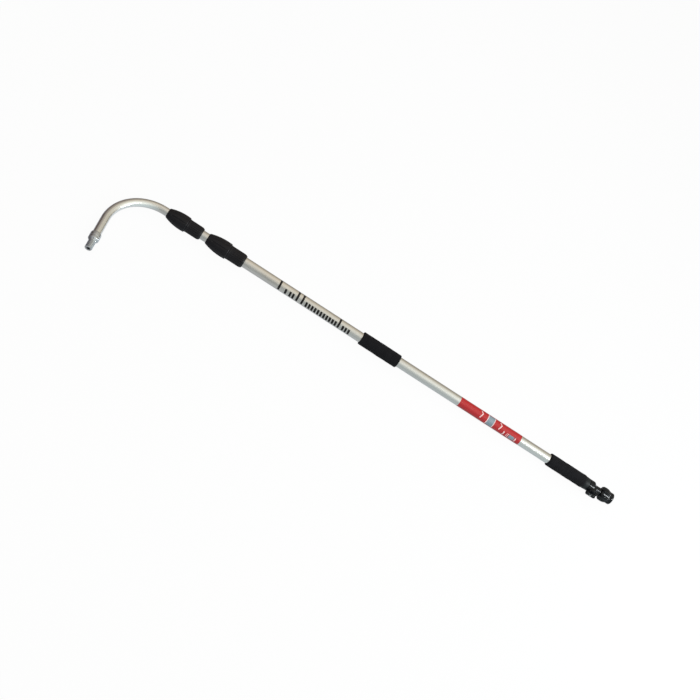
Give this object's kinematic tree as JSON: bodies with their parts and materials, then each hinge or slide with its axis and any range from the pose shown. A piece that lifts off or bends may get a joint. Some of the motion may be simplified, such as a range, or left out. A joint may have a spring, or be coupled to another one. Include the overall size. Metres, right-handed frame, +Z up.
{
  "type": "telescopic water-fed cleaning pole",
  "caption": "Telescopic aluminium water-fed cleaning pole with a bent threaded neck, twist-lock collars, foam grips, and a lever shut-off valve with a swivel hose nut.",
  "frame": {"origin": "centre of the hose nut's mouth, where the garden hose screws in", "axes": "+X along the pole, out of the hose inlet; the pole and its neck lie along -X; +Z up; the neck bends level, toward -Y"},
  "size_m": [1.548, 0.2471, 0.0446],
  "materials": {
    "tube": "satin anodised, drawn along the tube",
    "foam": "closed-cell foam, matt with fine pores",
    "lock_black": "moulded, fine grain",
    "fitting_dark": "moulded, satin",
    "hose_black": "moulded, slight sheen",
    "tip_metal": "turned, satin",
    "label": "printed film",
    "nylon": "natural nylon",
    "seal": "nitrile rubber",
    "brass": "turned",
    "steel": "zinc plated"
  },
  "bodies": {
    "handle": {"outer_tube": "tube", "bottom_grip": "foam", "mid_grip": "foam", "label_band": "label", "adapter_collar": "fitting_dark", "adapter_o_rings": "seal", "adapter_rivets": "steel", "valve_body": "hose_black", "valve_seats": "nylon", "hose_spigot": "fitting_dark", "lower_lock_body": "lock_black", "lower_collet": "nylon"},
    "lever": {"valve_ball": "brass", "valve_stem": "brass", "stem_o_ring": "seal", "valve_lever": "hose_black", "lever_screw": "steel"},
    "hose_nut": {"hose_nut": "hose_black", "hose_washer": "seal"},
    "lower_ring": {"lower_thrust_ring": "nylon"},
    "lower_collar": {"lower_lock_collar": "lock_black"},
    "middle_guide": {"middle_guide_ring": "nylon"},
    "middle": {"middle_piston": "fitting_dark", "middle_o_rings": "seal", "middle_tube": "tube", "upper_lock_body": "lock_black", "upper_collet": "nylon"},
    "upper_ring": {"upper_thrust_ring": "nylon"},
    "upper_collar": {"upper_lock_collar": "lock_black"},
    "neck_guide": {"neck_guide_ring": "nylon"},
    "neck": {"neck_piston": "fitting_dark", "neck_o_rings": "seal", "neck_tube": "tube", "tip_fitting": "tip_metal", "tip_o_ring": "seal"}
  },
  "joints": [
    {"name": "lever_turn", "type": "hinge", "parent": "handle", "child": "lever", "pos_m": [-0.063, 0, 0], "axis": [0, -1, 0], "range_deg": [0, 90]},
    {"name": "hose_nut_spin", "type": "hinge", "parent": "handle", "child": "hose_nut", "pos_m": [-0.03, 0, 0], "axis": [1, 0, 0], "continuous": true},
    {"name": "lower_ring_travel", "type": "slide", "parent": "handle", "child": "lower_ring", "axis": [-1, 0, 0], "range_m": [0, 0.00147]},
    {"name": "lower_lock_twist", "type": "hinge", "parent": "lower_ring", "child": "lower_collar", "pos_m": [-1.28, 0, 0], "axis": [-1, 0, 0], "range_deg": [0, 120]},
    {"name": "middle_extend", "type": "slide", "parent": "handle", "child": "middle_guide", "axis": [-1, 0, 0], "range_m": [-0.015, 1.05]},
    {"name": "middle_spin", "type": "hinge", "parent": "middle_guide", "child": "middle", "pos_m": [-0.155, 0, 0], "axis": [-1, 0, 0], "continuous": true},
    {"name": "upper_ring_travel", "type": "slide", "parent": "middle", "child": "upper_ring", "axis": [-1, 0, 0], "range_m": [0, 0.00147]},
    {"name": "upper_lock_twist", "type": "hinge", "parent": "upper_ring", "child": "upper_collar", "pos_m": [-1.4, 0, 0], "axis": [-1, 0, 0], "range_deg": [0, 120]},
    {"name": "neck_extend", "type": "slide", "parent": "middle", "child": "neck_guide", "axis": [-1, 0, 0], "range_m": [0, 1.05]},
    {"name": "neck_spin", "type": "hinge", "parent": "neck_guide", "child": "neck", "pos_m": [-0.215, 0, 0], "axis": [-1, 0, 0], "continuous": true}
  ],
  "couplings": [
    {"joint": "lower_ring_travel", "follows": "lower_lock_twist", "m_per_rad": 0.0007},
    {"joint": "upper_ring_travel", "follows": "upper_lock_twist", "m_per_rad": 0.0007}
  ]
}
